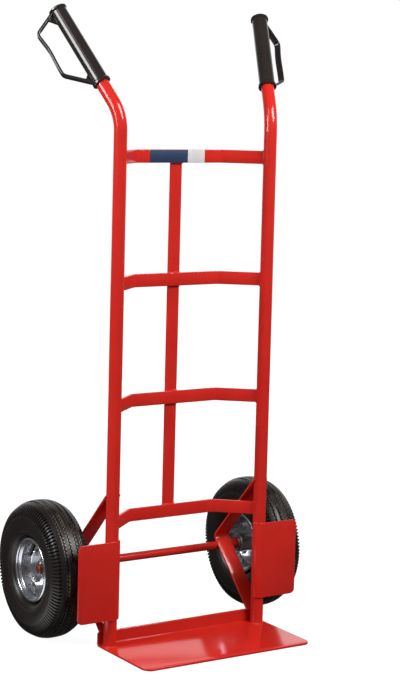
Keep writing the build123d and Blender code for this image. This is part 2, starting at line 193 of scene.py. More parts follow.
def make_finish(name, slot, colour, other, drift, grain, smooth, rough, bump, **sockets):
    # two tones that drift into each other, with a grain that sets roughness and relief
    material = bpy.data.materials.new(name)
    material.use_nodes = True
    tree = material.node_tree
    tones = {"Colour": (*colour, 1), "Other colour": (*other, 1), "Scale": drift}
    limits = {"Scale": grain, "Smoothest": smooth, "Roughest": rough}
    tone = add_node(tree, "ShaderNodeGroup", tones, node_tree=DRIFT)
    surface = add_node(tree, "ShaderNodeGroup", limits, node_tree=GRAIN)
    heights = {"Strength": bump, "Distance": RELIEF_DEPTH, "Height": surface.outputs["Height"]}
    relief = add_node(tree, "ShaderNodeBump", heights)
    shader = tree.nodes["Principled BSDF"]
    for label, value in sockets.items():
        shader.inputs[label.replace("_", " ")].default_value = value
    tree.links.new(tone.outputs["Colour"], shader.inputs["Base Color"])
    tree.links.new(surface.outputs["Roughness"], shader.inputs["Roughness"])
    tree.links.new(relief.outputs["Normal"], shader.inputs["Normal"])
    return material


print("the relief of a finish is at most", round(RELIEF_DEPTH / MM, 2), "mm deep")

# %% Make the finishes
red_paint = make_finish(
    "red powder coat", "red_paint", (0.6, 0.022, 0.0145), (0.56, 0.019, 0.0125),
    drift=14, grain=1500, smooth=0.12, rough=0.16, bump=0.001, Specular_IOR_Level=0.42,
)
# painted shade: the axle ends are a darker brown-red for the shade inside the rim dish
axle_end_painted_shade = make_finish(
    "axle end with painted shade", "red_paint", (0.17, 0.034, 0.016), (0.1, 0.022, 0.01),
    drift=160, grain=700, smooth=0.25, rough=0.4, bump=0.1, Specular_IOR_Level=0.3,
)
bright_rim = make_finish(
    "bright rim chrome", "bright_rim", (0.45, 0.455, 0.49), (0.39, 0.395, 0.43),
    drift=30, grain=90, smooth=0.16, rough=0.24, bump=0.03, Metallic=0.9,
)
plated_steel = make_finish(
    "zinc plated steel", "plated_steel", (0.46, 0.46, 0.46), (0.38, 0.38, 0.37),
    drift=120, grain=600, smooth=0.24, rough=0.4, bump=0.1, Metallic=1.0,
)
tyre_rubber = make_finish(
    "tyre rubber", "tyre_rubber", (0.0076, 0.0053, 0.0046), (0.011, 0.0078, 0.0068),
    drift=30, grain=600, smooth=0.3, rough=0.42, bump=0.15, Specular_IOR_Level=0.35,
)
tube_rubber = make_finish(
    "smooth black rubber", "tube_rubber", (0.004,) * 3, (0.006,) * 3,
    drift=60, grain=900, smooth=0.4, rough=0.52, bump=0.1, Specular_IOR_Level=0.2,
)
grip_plastic = make_finish(
    "smooth charcoal plastic", "grip_plastic", (0.0195, 0.0155, 0.0145), (0.0235, 0.019, 0.0175),
    drift=40, grain=1400, smooth=0.09, rough=0.14, bump=0.006, Specular_IOR_Level=0.45,
)
cap_plastic = make_finish(
    "black cap plastic", "cap_plastic", (0.005,) * 3, (0.008,) * 3,
    drift=90, grain=1200, smooth=0.35, rough=0.45, bump=0.1, Specular_IOR_Level=0.25,
)
label_dark = make_finish(
    "dark label print", None, (0.0145, 0.034, 0.09), (0.017, 0.038, 0.098),
    drift=40, grain=1500, smooth=0.32, rough=0.42, bump=0.03,
)
label_pale = make_finish(
    "pale label print", None, (0.6, 0.585, 0.6), (0.64, 0.625, 0.64),
    drift=40, grain=1500, smooth=0.32, rough=0.42, bump=0.03,
)

# %% [markdown]
# ## Tools for making pieces
# Nearly everything on a truck is a section carried along a line, as tube and flat bar are, or a profile
# turned about an axle. So we write those two ways once: sweep and lathe. Both give lists of points and
# faces; piece joins such shapes into one mesh, closes the seams and turns the faces outwards.


# %% Lines and sections
def rounded(points, radii, steps=10):
    # a line through the points, with an arc at each inner corner
    points = [Vector(p).to_3d() for p in points]
    if not hasattr(radii, "__len__"):
        radii = [radii] * (len(points) - 2)
    line = [points[0]]
    for before, corner, after, radius in zip(points, points[1:], points[2:], radii):
        back = (before - corner).normalized()
        ahead = (after - corner).normalized()
        half_angle = back.angle(ahead) / 2
        reach = radius / math.tan(half_angle)
        middle = corner + (back + ahead).normalized() * (radius / math.sin(half_angle))
        start = corner + back * reach - middle
        stop = corner + ahead * reach - middle
        for step in range(steps + 1):
            line.append(middle + start.slerp(stop, step / steps).normalized() * radius)
    line.append(points[-1])
    return line


def heading(line, i):
    # the direction of a line at one of its points
    return (line[min(i + 1, len(line) - 1)] - line[max(i - 1, 0)]).normalized()


def round_section(radius, sides):
    turns = [math.tau * i / sides for i in range(sides)]
    return [(radius * math.cos(turn), radius * math.sin(turn)) for turn in turns]


def flat_section(thick, wide, edge, steps=3):
    # a rectangle with rounded edges, thick by wide
    section = []
    for corner, (a, b) in enumerate(((1, 1), (-1, 1), (-1, -1), (1, -1))):
        for step in range(steps + 1):
            turn = math.radians(90 * (corner + step / steps))
            section.append((
                a * (thick / 2 - edge) + edge * math.cos(turn),
                b * (wide / 2 - edge) + edge * math.sin(turn),
            ))
    return section


print("a flat section has", len(flat_section(5, 30, 1)), "points")


# %% Shapes: points and faces
def skin(rings):
    # faces between rings of equal count, with a face closing each end
    count = len(rings[0])
    points = [point for ring in rings for point in ring]
    faces = []
    for row in range(len(rings) - 1):
        for i in range(count):
            j = (i + 1) % count
            faces.append((row * count + i, row * count + j, (row + 1) * count + j, (row + 1) * count + i))
    faces.append(tuple(range(count))[::-1])
    faces.append(tuple(range(len(points) - count, len(points))))
    return points, faces


def sweep(line, sections, side):
    # carries a section, or one section for each point, along a line in the plane square to side
    if not hasattr(sections[0][0], "__len__"):
        sections = [sections] * len(line)
    rings = []
    for i, point in enumerate(line):
        across = side.cross(heading(line, i))
        rings.append([point + across * a + side * b for a, b in sections[i]])
    return skin(rings)


def lathe(profile, place, sides=64, closed=True):
    # turns a profile of (along, radius) millimetres about the X axis of place
    points = []
    for i in range(sides):
        turn = math.tau * i / sides
        for along, radius in profile:
            spot = Vector((along, -radius * math.sin(turn), radius * math.cos(turn)))
            points.append(place @ (spot * MM))
    count = len(profile)
    last = count if closed else count - 1
    faces = []
    for i in range(sides):
        near = i * count
        far = (i + 1) % sides * count
        for k in range(last):
            m = (k + 1) % count
            faces.append((near + k, near + m, far + m, far + k))
    return points, faces


def moved(shape, place):
    points, faces = shape
    return [place @ p for p in points], faces


def mirrored(shape):
    points, faces = shape
    return [Vector((-p.x, p.y, p.z)) for p in points], [face[::-1] for face in faces]


def on_side(shapes, sign):
    # shapes are drawn for the right-hand side, and mirrored for the left
    return shapes if sign > 0 else [mirrored(shape) for shape in shapes]


print("a short bar has", len(sweep([X * 0, X], flat_section(5, 30, 1), Y)[1]), "faces")

# %% Pieces: objects on their bodies
SHARP_ANGLE = 38
SEAM_GAP = 1e-6
NO_LENGTH = 1e-7


def put(name, data):
    made = bpy.data.objects.new(name, data)
    bpy.context.scene.collection.objects.link(made)
    return made


def piece(name, shapes, finish, sharp=SHARP_ANGLE):
    mesh = bpy.data.meshes.new(name)
    work = bmesh.new()
    for points, faces in shapes:
        corners = [work.verts.new(p) for p in points]
        for face in faces:
            work.faces.new([corners[i] for i in face])
    bmesh.ops.remove_doubles(work, verts=work.verts, dist=SEAM_GAP)
    bmesh.ops.dissolve_degenerate(work, edges=work.edges, dist=NO_LENGTH)
    bmesh.ops.recalc_face_normals(work, faces=work.faces)
    work.to_mesh(mesh)
    work.free()
    mesh.materials.append(finish)
    mesh.shade_smooth()
    mesh.set_sharp_from_angle(angle=math.radians(sharp))
    return put(name, mesh)


def made_plain(made):
    # the result of the modifiers becomes the object's own mesh
    graph = bpy.context.evaluated_depsgraph_get()
    mesh = bpy.data.meshes.new_from_object(made.evaluated_get(graph))
    made.modifiers.clear()
    made.data = mesh
    return made


def settle(made, finish, body, *nodes):
    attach(made, body)
    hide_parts(*nodes)
    print(made.name, len(made.data.polygons), "faces, rides on", body)


def build(name, shapes, finish, body, *nodes, sharp=SHARP_ANGLE):
    settle(piece(name, shapes, finish, sharp), finish, body, *nodes)


def pair(name, shapes, finish, body, *nodes, sharp=SHARP_ANGLE):
    # the right-hand piece and its mirror image; SIDE in a body's name stands for left or right
    for side, sign in SIDES.items():
        own_body = body.replace("SIDE", side)
        own_nodes = [f"{node}_{side}" for node in nodes]
        build(f"{name}_{side}", on_side(shapes, sign), finish, own_body, *own_nodes, sharp=sharp)


print("edges above", SHARP_ANGLE, "degrees stay sharp")

# %% [markdown]
# ## The uprights
# Each upright is one length of tube, cold bent back and outwards at the top to make a handle. A curve
# object with a bevel would do, but a swept mesh lets us keep the bend a true arc with as many rings as its
# gloss needs. The left one is the mirror image of the right.

# %% Sweep the uprights
BEND_Z = 989 * MM
BEND_R = 90 * MM
BEND_TILT = math.radians(38.3)
BEND_TURN = math.radians(24)
GRIP_START = 69.5 * MM
GRIP_LEN = 172 * MM
TUBE_STOP = 9 * MM

bend_corner = Vector((tube_x, 0, BEND_Z))
bend_side = Vector((math.cos(BEND_TURN), -math.sin(BEND_TURN), 0))
bend_ahead = Vector((math.sin(BEND_TURN), math.cos(BEND_TURN), 0))
handle = bend_ahead * math.sin(BEND_TILT) + Z * math.cos(BEND_TILT)
tube_top = bend_corner + handle * (GRIP_START + GRIP_LEN - TUBE_STOP)
tube_line = rounded([(tube_x, 0, plate_t), bend_corner, tube_top], BEND_R, steps=28)
tube_shape = sweep(tube_line, round_section(tube_r, sides=56), bend_side)
pair("painted_upright", [tube_shape], red_paint, "frame", "upright")

# %% [markdown]
# ## Crossbars and centre bar
# The four crossbars are flat bar, bent twice so that the middle lies behind the tubes and a drum can lean
# in. They are sawn square and welded on, so each end runs a little way into its tube. The edges of rolled
# flat bar are never sharp: the section has a small round, which catches a thin line of light.

# %% Sweep the flat bars
BOW_RUN = 72 * MM
BAR_BEND_R = 14 * MM
BAR_EDGE = 1.1 * MM
BAR_SINK = 1.5 * MM

bar_section = flat_section(bar_t, bar_h, BAR_EDGE)
bow_x = tube_x - BOW_RUN
bar_slope = Vector((-BOW_RUN, bow, 0)).normalized()
bar_start = bar_slope * (tube_r - BAR_SINK)
for number, height in enumerate(bar_heights, start=1):
    bar_corners = [
        (tube_x + bar_start.x, bar_start.y, height),
        (bow_x, bow, height),
        (-bow_x, bow, height),
        (-tube_x - bar_start.x, bar_start.y, height),
    ]
    bar_shape = sweep(rounded(bar_corners, BAR_BEND_R), bar_section, Z)
    build(f"painted_crossbar_{number}", [bar_shape], red_paint, "frame", f"crossbar_{number}")

centre_x = (centre_low.x + centre_high.x) / 2
centre_y = (centre_low.y + centre_high.y) / 2
centre_line = [Vector((centre_x, centre_y, z)) for z in (centre_low.z, centre_high.z)]
build("painted_centre_bar", [sweep(centre_line, bar_section, X)], red_paint, "frame", "centre_bar")

# %% [markdown]
# ## Toe plate, fenders and axle brackets
# These are sheet and strip: a flat blank with rounded corners, bent afterwards. We make them the same way.
# The line is the bent sheet seen edge on, and at each step along it the section gets the width that the
# blank has there.

# %% A tool for bent blanks
CORNER_STEPS = 9
ROUNDS_IN_SHEET = 2.2


def walk(line, distance):
    # the point at a distance along a line
    for start, stop in zip(line, line[1:]):
        step = (stop - start).length
        if distance <= step and step > 0:
            return start.lerp(stop, distance / step)
        distance -= step
    return line[-1]


def radius_cut(depth, radius):
    # how far a rounded corner has drawn the edge in at a depth from the end
    if depth >= radius:
        return 0.0
    return radius - math.sqrt(radius ** 2 - (radius - depth) ** 2)


def blank(line, side, thick, wide, edge, start_corner=0.0, end_corner=0.0):
    # a bent sheet whose blank has rounded corners at the start and the end of the line
    total = sum((b - a).length for a, b in zip(line, line[1:]))
    marks = {0.0, edge, total - edge, total}
    walked = 0.0
    for a, b in zip(line, line[1:]):
        walked += (b - a).length
        marks.add(min(max(walked, edge), total - edge))
    for step in range(CORNER_STEPS + 1):
        depth = 1 - math.cos(math.pi / 2 * step / CORNER_STEPS)
        marks |= {start_corner * depth, total - end_corner * depth}
    stops = []
    for mark in sorted(marks):
        if not stops or mark - stops[-1] > SEAM_GAP:
            stops.append(mark)
    sections = []
    for mark in stops:
        cut = max(radius_cut(mark, start_corner), radius_cut(total - mark, end_corner))
        thin = thick - max(edge - mark, mark - (total - edge), 0.0)
        sections.append(flat_section(thin, wide - 2 * cut, min(edge, thin / ROUNDS_IN_SHEET)))
    return sweep([walk(line, mark) for mark in stops], sections, side)


print("a rounded corner has", CORNER_STEPS, "steps")

# %% Toe plate
SHEET_EDGE = 0.9 * MM
PLATE_BEND_R = 4 * MM
PLATE_CORNER_R = 18 * MM
LIP_CORNER_R = 5 * MM

plate_low, plate_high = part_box("toe_plate")
plate_mid = plate_t / 2
lip_y = plate_high.y - plate_mid
plate_corners = [(0, plate_low.y, plate_mid), (0, lip_y, plate_mid), (0, lip_y, plate_high.z)]
plate_line = rounded(plate_corners, PLATE_BEND_R)
plate_wide = plate_high.x - plate_low.x
plate_shape = blank(plate_line, X, plate_t, plate_wide, SHEET_EDGE, PLATE_CORNER_R, LIP_CORNER_R)
build("painted_toe_plate", [plate_shape], red_paint, "frame", "toe_plate")

# %% Wheel fenders
FENDER_T = 3 * MM
FENDER_CORNER_R = 10 * MM
FENDER_CURL = math.radians(86)
CURL_STEPS = 14

fender_low, fender_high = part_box("wheel_fender_right")
fender_y = fender_low.y + FENDER_T / 2
fender_z = (fender_low.z + fender_high.z) / 2
fender_line = [Vector((fender_high.x, fender_y, fender_z))]
for step in range(CURL_STEPS + 1):
    turn = FENDER_CURL * step / CURL_STEPS
    fender_line.append(Vector((tube_x + fender_y * math.sin(turn), fender_y * math.cos(turn), fender_z)))
fender_shape = blank(fender_line, Z, FENDER_T, fender_high.z - fender_low.z, SHEET_EDGE, FENDER_CORNER_R)
pair("painted_wheel_fender", [fender_shape], red_paint, "frame", "wheel_fender")

# %% Axle brackets
BRACKET_T = 4 * MM
BRACKET_APEX = 18 * MM
BRACKET_RISE = 158 * MM
BRACKET_BEND_R = 9 * MM

slant = math.sqrt(0.5)
leg_up = Vector((0, slant, slant))
leg_out = Vector((0, -slant, slant))
leg_foot = Vector((tube_x, axle_y, axle_z)) + leg_out * (axle_r + BRACKET_T / 2)
bracket_apex = leg_foot + leg_up * BRACKET_APEX
leg_drop = bracket_apex.z - bracket_low.z
bracket_foot = bracket_apex - Vector((0, leg_drop, leg_drop))
bracket_top = Vector((tube_x, 0, axle_z + BRACKET_RISE))
bracket_line = rounded([bracket_foot, bracket_apex, bracket_top], BRACKET_BEND_R)
bracket_shape = blank(bracket_line, X, BRACKET_T, bracket_w, SHEET_EDGE)
pair("painted_axle_bracket", [bracket_shape], red_paint, "frame", "axle_bracket")

# %% [markdown]
# ## Axle and what keeps the wheels on
# A round bar runs right across, painted with the frame. Where it comes out of the wheels it is a darker
# brown-red, which is painted shade for the hollow of the rim dish. A collar on each side stops the wheel
# from sliding in, and a washer and a split pin stop it from sliding off. They are turned parts, so the
# lathe makes them; the pin is a bent wire, so it is swept.

# %% Axle and collars
AXLE_SIDES = 48
AXLE_CHAMFER = 1.2
COLLAR_EDGE = 0.8


def at_axle(x=0.0):
    return Matrix.Translation((x, axle_y, axle_z))


def ring_profile(start, stop, inner, outer, edge):
    # closed profile of a ring with both outer edges broken
    return [
        (start, inner),
        (start, outer - edge),
        (start + edge, outer),
        (stop - edge, outer),
        (stop, outer - edge),
        (stop, inner),
    ]


hub_low, hub_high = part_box("hub_right")
hub_start = hub_low.x / MM
hub_stop = hub_high.x / MM
axle_end = axle_high.x / MM
axle_mm = axle_r / MM
axle_profile = [(-hub_stop, 0), (-hub_stop, axle_mm), (hub_stop, axle_mm), (hub_stop, 0)]
axle_shape = lathe(axle_profile, at_axle(), AXLE_SIDES, closed=False)
build("painted_axle", [axle_shape], red_paint, "frame", "axle")
end_profile = [
    (hub_stop, 0),
    (hub_stop, axle_mm),
    (axle_end - AXLE_CHAMFER, axle_mm),
    (axle_end, axle_mm - AXLE_CHAMFER),
    (axle_end, 0),
]
end_shape = lathe(end_profile, at_axle(), AXLE_SIDES, closed=False)
# the axle ends carry the finish with painted shade for the hollow of the rim dish
build("axle_ends_painted_shade", [end_shape, mirrored(end_shape)], axle_end_painted_shade, "frame")

collar_low, collar_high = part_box("axle_collar_right")
collar_r = (collar_high.z - collar_low.z) / 2 / MM
collar_profile = ring_profile(collar_low.x / MM, collar_high.x / MM, axle_mm, collar_r, COLLAR_EDGE)
pair("painted_axle_collar", [lathe(collar_profile, at_axle())], red_paint, "frame", "axle_collar")

# %% Washers and split pins
WASHER_T = 2.0
WASHER_R = 14.0
WASHER_EDGE = 0.4
SIDE_PLAY = 0.4
PIN_WIRE = 0.8 * MM
PIN_EYE_R = 2.8 * MM
PIN_REACH = 12 * MM
PIN_SPREAD = 4.5 * MM
PIN_EDGE = 3.6 * MM
PIN_BENDS = [1.2 * MM, 1 * MM, 1 * MM, 2.4 * MM]

washer_shapes = []
for start in (hub_start - SIDE_PLAY - WASHER_T, hub_stop + SIDE_PLAY):
    profile = ring_profile(start, start + WASHER_T, axle_mm, WASHER_R, WASHER_EDGE)
    washer_shapes.append(lathe(profile, at_axle()))
washer_shapes += [mirrored(shape) for shape in washer_shapes]
build("plated_axle_washers", washer_shapes, plated_steel, "frame", "axle_washers")

pin_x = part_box("split_pins")[1].x - PIN_EDGE
eye_z = axle_r + PIN_EYE_R + PIN_WIRE
pin_half = [
    (PIN_SPREAD, -PIN_REACH),
    (PIN_WIRE, -axle_r - PIN_WIRE),
    (PIN_WIRE, axle_r),
    (PIN_EYE_R, eye_z - PIN_WIRE),
    (PIN_EYE_R, eye_z + PIN_EYE_R),
]
pin_corners = [(pin_x, y, z) for y, z in pin_half] + [(pin_x, -y, z) for y, z in reversed(pin_half)]
pin_line = rounded(pin_corners, PIN_BENDS + PIN_BENDS[::-1], steps=5)
pin_shape = moved(sweep(pin_line, round_section(PIN_WIRE, sides=12), X), at_axle())
build("plated_split_pins", [pin_shape, mirrored(pin_shape)], plated_steel, "frame", "split_pins")

# %% [markdown]
# ## Wheels: rims, hubs and bearings
# The rim is two pressed halves bolted back to back: a flat disc, a deep well and a rolled flange that
# holds the tyre. Pressed sheet has the same thickness everywhere, so we draw its middle line with bends
# and thicken that, then turn it on the lathe. The hub is a tube with a bearing in each end.

# %% Press the rim halves
RIM_SIDES = 128
RIM_SHARP = 50
RIM_T = 2.0
RIM_HALF = 27.5
RIM_R = 60.0
WELL_R = 50.0
HUB_R = 19.0
RIM_CORNERS = [
    (RIM_T / 2, HUB_R),
    (RIM_T / 2, WELL_R - RIM_T - 0.5),
    (RIM_HALF - 5.0, WELL_R + 1.0),
    (RIM_HALF - 3.2, WELL_R + 4.0),
    (RIM_HALF - 2.0, RIM_R - 4.0),
]
RIM_BENDS = [4.0, 1.6, 2.0]
ROLL_R = 3.2
ROLL_PLACE = (27.6, 57.6)


def thickened(line, thick):
    # closed profile round a middle line of sheet
    upper, lower = [], []
    for i, point in enumerate(line):
        along = heading(line, i)
        across = Vector((-along.y, along.x, 0)) * thick / 2
        upper.append((point + across)[:2])
        lower.append((point - across)[:2])
    return upper + lower[::-1]


def rolled_bead(along, radius, size, sides):
    return [(along + a, radius + b) for a, b in round_section(size, sides)]


def flipped(profile):
    return [(-along, radius) for along, radius in profile]


rim_line = rounded(RIM_CORNERS, RIM_BENDS, steps=6)
rim_profiles = [thickened(rim_line, RIM_T), rolled_bead(*ROLL_PLACE, ROLL_R, sides=28)]
wheel_place = at_axle(wheel_x)
outer_shapes = [lathe(profile, wheel_place, RIM_SIDES) for profile in rim_profiles]
inner_shapes = [lathe(flipped(profile), wheel_place, RIM_SIDES) for profile in rim_profiles]
pair("chromed_rim_outer", outer_shapes, bright_rim, "wheel_SIDE", "rim_outer", sharp=RIM_SHARP)
pair("chromed_rim_inner", inner_shapes, bright_rim, "wheel_SIDE", "rim_inner", sharp=RIM_SHARP)

# %% Hubs and bearings
HUB_WALL = 3.0
HUB_EDGE = 1.0
BEARING_W = 10.0
BEARING_INSET = 0.3
BORE_PLAY = 0.05
RACE_SHARE = 0.26
SHIELD_DROP = 0.8

hub_in = hub_start - wheel_x / MM
hub_out = hub_stop - wheel_x / MM
hub_profile = ring_profile(hub_in, hub_out, HUB_R - HUB_WALL, HUB_R, HUB_EDGE)
pair("plated_hub", [lathe(hub_profile, wheel_place)], plated_steel, "wheel_SIDE", "hub")


def bearing_profile(start):
    # two races with a sunk shield between them on both faces
    stop = start + BEARING_W
    bore = axle_mm + BORE_PLAY
    seat = HUB_R - HUB_WALL
    race = (seat - bore) * RACE_SHARE
    inner = bore + race
    outer = seat - race
    low = start + SHIELD_DROP
    high = stop - SHIELD_DROP
    face = [(stop, bore), (stop, inner), (high, inner), (high, outer), (stop, outer), (stop, seat)]
    back = [(start, seat), (start, outer), (low, outer), (low, inner), (start, inner), (start, bore)]
    return face + back


bearing_starts = (hub_in + BEARING_INSET, hub_out - BEARING_W - BEARING_INSET)
bearing_shapes = [lathe(bearing_profile(start), wheel_place) for start in bearing_starts]
pair("steel_bearings", bearing_shapes, plated_steel, "wheel_SIDE", "bearings")

# %% [markdown]
# ## What repeats round the axle
# Bolts, nuts and the blocks of the tread stand in a ring. Modelling one and copying it in a loop would
# work, but a Geometry Nodes tree says it better: a count of points, one copy on each, turned by its
# number. The tree ends in real geometry with its material set, and we keep the result as a plain mesh.


# %% The ring tree
def new_tree(name, inputs):
    # a tree that takes geometry and named values, and gives geometry
    tree = bpy.data.node_groups.new(name, "GeometryNodeTree")
    for label, kind in {"Geometry": "Geometry", **inputs}.items():
        tree.interface.new_socket(label, in_out="INPUT", socket_type="NodeSocket" + kind)
    tree.interface.new_socket("Geometry", in_out="OUTPUT", socket_type="NodeSocketGeometry")
    return tree, tree.nodes.new("NodeGroupInput").outputs, tree.nodes.new("NodeGroupOutput").inputs


def ring_tree():
    inputs = {"Count": "Int", "Start angle": "Float", "Axle": "Vector", "Material": "Material"}
    tree, given, out = new_tree("Ring about the axle", inputs)
    spots = add_node(tree, "GeometryNodePoints", {"Count": given["Count"]}).outputs[0]
    number = add_node(tree, "GeometryNodeInputIndex").outputs[0]
    step = maths(tree, "DIVIDE", math.tau, given["Count"])
    angle = maths(tree, "ADD", maths(tree, "MULTIPLY", number, step), given["Start angle"])
    turn = add_node(tree, "ShaderNodeCombineXYZ", {"X": angle}).outputs[0]
    on_spots = {"Points": spots, "Instance": given["Geometry"], "Rotation": turn}
    copies = add_node(tree, "GeometryNodeInstanceOnPoints", on_spots).outputs[0]
    real = add_node(tree, "GeometryNodeRealizeInstances", {0: copies}).outputs[0]
    at_wheel = {"Geometry": real, "Translation": given["Axle"]}
    placed = add_node(tree, "GeometryNodeTransform", at_wheel).outputs[0]
    finished = {"Geometry": placed, "Material": given["Material"]}
    tree.links.new(add_node(tree, "GeometryNodeSetMaterial", finished).outputs[0], out[0])
    return tree


RING = ring_tree()


def run_tree(made, tree, values):
    # the inputs are set by their identifiers, then the result is kept as a plain mesh
    modifier = made.modifiers.new(tree.name, "NODES")
    modifier.node_group = tree
    for item in tree.interface.items_tree:
        if item.in_out == "INPUT" and item.name in values:
            modifier[item.identifier] = values[item.name]
    return made_plain(made)


def ring_of(name, shapes, count, start, side, finish, sharp):
    centre = tuple(wheel_centre[f"wheel_{side}"])
    values = {"Count": count, "Start angle": start, "Axle": centre, "Material": finish}
    return run_tree(piece(name, shapes, finish, sharp), RING, values)


print("tree", RING.name, "has", len(RING.nodes), "nodes")

# %% [markdown]
# ### Bolts and nuts
# A hexagon nut is a prism whose corners are cut by a shallow cone, which leaves the curved edge that makes
# it read as a nut. Here each point round the prism works out where the cone meets it.

# %% Shape a bolt and a nut
BOLT_CIRCLE = 36.0
BOLT_AF = 13.0
BOLT_R = 4.0
HEAD_T = 5.3
NUT_T = 6.5
BOLT_TAIL = 2.5
HEX_POINTS = 36
CONE_SLOPE = math.tan(math.radians(30))
CONE_SHARE = 0.94
THREAD_PITCH = 1.2
THREAD_FLAT = 0.6
THREAD_ROOT = 0.9
THREAD_D = 0.35
TAIL_CHAMFER = 0.7


def hexagon_shape(start, stop):
    # a hexagon prism along X, its far end cut by a cone
    grow = 1 if stop > start else -1
    flat = BOLT_AF / 2
    cone_r = flat * CONE_SHARE
    rings = [[], [], []]
    for i in range(HEX_POINTS):
        turn = math.tau * i / HEX_POINTS
        reach = flat / math.cos((turn % (math.pi / 3)) - math.pi / 6)
        waist = stop - grow * (reach - cone_r) * CONE_SLOPE
        for ring, along, radius in zip(rings, (start, waist, stop), (reach, reach, cone_r)):
            y = -radius * math.sin(turn)
            z = BOLT_CIRCLE + radius * math.cos(turn)
            ring.append(Vector((along, y, z)) * MM)
    return skin(rings)


def shank_profile(start, stop):
    # a thread end: fine grooves, then a small chamfer
    profile = [(start, 0), (start, BOLT_R)]
    along = start
    while along < stop - THREAD_PITCH:
        profile += [(along + THREAD_FLAT, BOLT_R), (along + THREAD_ROOT, BOLT_R - THREAD_D)]
        along += THREAD_PITCH
    return profile + [(stop - TAIL_CHAMFER, BOLT_R), (stop, BOLT_R - TAIL_CHAMFER), (stop, 0)]


bolt_place = Matrix.Translation((0, 0, BOLT_CIRCLE * MM))
shank = lathe(shank_profile(-RIM_T, RIM_T + NUT_T + BOLT_TAIL), bolt_place, sides=18, closed=False)
bolt_shapes = [hexagon_shape(-RIM_T, -RIM_T - HEAD_T), shank]
nut_shapes = [hexagon_shape(RIM_T, RIM_T + NUT_T)]
print("a nut has", len(nut_shapes[0][1]), "faces")

# %% Set the bolts and nuts
BOLT_COUNT = 4
BOLT_SHARP = 25

bolt_turn = math.pi / BOLT_COUNT
for side, sign in SIDES.items():
    for node, shapes in (("rim_bolts", bolt_shapes), ("rim_nuts", nut_shapes)):
        own = on_side(shapes, sign)
        ring = ring_of(f"plated_{node}_{side}", own, BOLT_COUNT, bolt_turn, side, plated_steel, BOLT_SHARP)
        settle(ring, plated_steel, f"wheel_{side}", f"{node}_{side}")

# %% [markdown]
# ### Tyres
# The tyre is a round carcass with a tread: a middle rib with zigzag edges, a smooth rib each side of it,
# and a shoulder of narrow cross ribs. The carcass is turned on the lathe with its grooves. The cross ribs
# and the zigzag teeth are one small set of blocks, repeated round the tyre by the ring tree, with their
# feet sunk in the carcass.

# %% Sizes of the tyre
tyre_low, tyre_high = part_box("tyre_right")
TYRE_R = (tyre_high.z - tyre_low.z) / 2 / MM
TYRE_HALF = (tyre_high.x - tyre_low.x) / 2 / MM
GROOVES = ((3.6, 9.0), (14.6, 20.0))
GROOVE_D = 4.0
GROOVE_WALL = 0.3
SLOT_START = 28.2
SLOT_D = 5.0
MIDDLE_POINTS = (0.0, 2.6)
RIB_POINTS = ((11.5,), (22.0, 25.0, 27.9))
SLOT_POINTS = (SLOT_START, 30.0, 32.0)
SHOULDER_U = 33.6
SHOULDER_DROP = 10.5
SHOULDER_POWER = 2.4
CHEEK = (39.6, 102.8)
SIDE_WALL = [CHEEK, (TYRE_HALF, 98.0), (TYRE_HALF, 89.0), (37.8, 77.0), (32.6, 67.4), (25.0, 62.2)]
SIDE_BENDS = [9, 16, 22, 12]
TYRE_FOOT = [(23.0, 60.6), (22.4, 55.0), (21.2, 54.0), (18.4, 54.0)]
TYRE_INSIDE = [(23.2, 69.0), (34.6, 97.0), (24.8, 118.0)]
INSIDE_CROWN = (0.0, 120.5)

# along, radius, and the share of a drop that each of them takes
SHOULDER_POINTS = (
    (33.8, TYRE_R - SHOULDER_DROP, 0.25, 1.0),
    (36.8, 113.8, 0.5, 0.8),
    (38.8, 108.6, 0.7, 0.5),
)
print("tyre radius", round(TYRE_R, 1), "mm, half width", round(TYRE_HALF, 1), "mm")


# %% Outline of the carcass
def on_tread(along):
    return along, TYRE_R - SHOULDER_DROP * (abs(along) / SHOULDER_U) ** SHOULDER_POWER


def shoulder_line(drop):
    # the shoulder from the tread to the cheek, lowered by drop
    points = [(along, on_tread(along)[1] - drop) for along in SLOT_POINTS]
    for along, radius, inwards, down in SHOULDER_POINTS:
        points.append((along - drop * inwards, radius - drop * down))
    return points


half_tyre = [on_tread(along) for along in MIDDLE_POINTS]
for (start, stop), rib_points in zip(GROOVES, RIB_POINTS):
    bottom = on_tread((start + stop) / 2)[1] - GROOVE_D
    half_tyre += [on_tread(start), (start + GROOVE_WALL, bottom), (stop - GROOVE_WALL, bottom)]
    half_tyre += [on_tread(along) for along in (stop, *rib_points)]
half_tyre += shoulder_line(SLOT_D) + [CHEEK]
half_tyre += [point[:2] for point in rounded(SIDE_WALL, SIDE_BENDS, steps=4)[1:]]
half_tyre += TYRE_FOOT + TYRE_INSIDE
tyre_profile = half_tyre + [INSIDE_CROWN] + flipped(half_tyre[:0:-1])
print("the carcass has", len(tyre_profile), "points in its profile")

# %% One pitch of the tread
PITCHES = 110
RIB_HALF = 1.55
RIB_FOOT_HALF = 2.0
RIB_SINK = 1.2
RIB_END_FOOT = (CHEEK[0] - 1.6, CHEEK[1] - 0.8)
RIB_END_TOP = (CHEEK[0] + 0.1, CHEEK[1] - 0.4)
TOOTH_HALF = 3.4
TOOTH_OUT = 2.8
TOOTH_SINK = 0.5
TOOTH_LOW = 0.05


def shoulder_rib(sign):
    # a narrow block over the shoulder, wider at its foot
    rings = []
    feet = shoulder_line(SLOT_D + RIB_SINK) + [RIB_END_FOOT]
    tops = shoulder_line(0.0) + [RIB_END_TOP]
    for foot, top in zip(feet, tops):
        outline = ((foot, -RIB_FOOT_HALF), (top, -RIB_HALF), (top, RIB_HALF), (foot, RIB_FOOT_HALF))
        rings.append([Vector((sign * along, y, radius)) * MM for (along, radius), y in outline])
    return skin(rings)


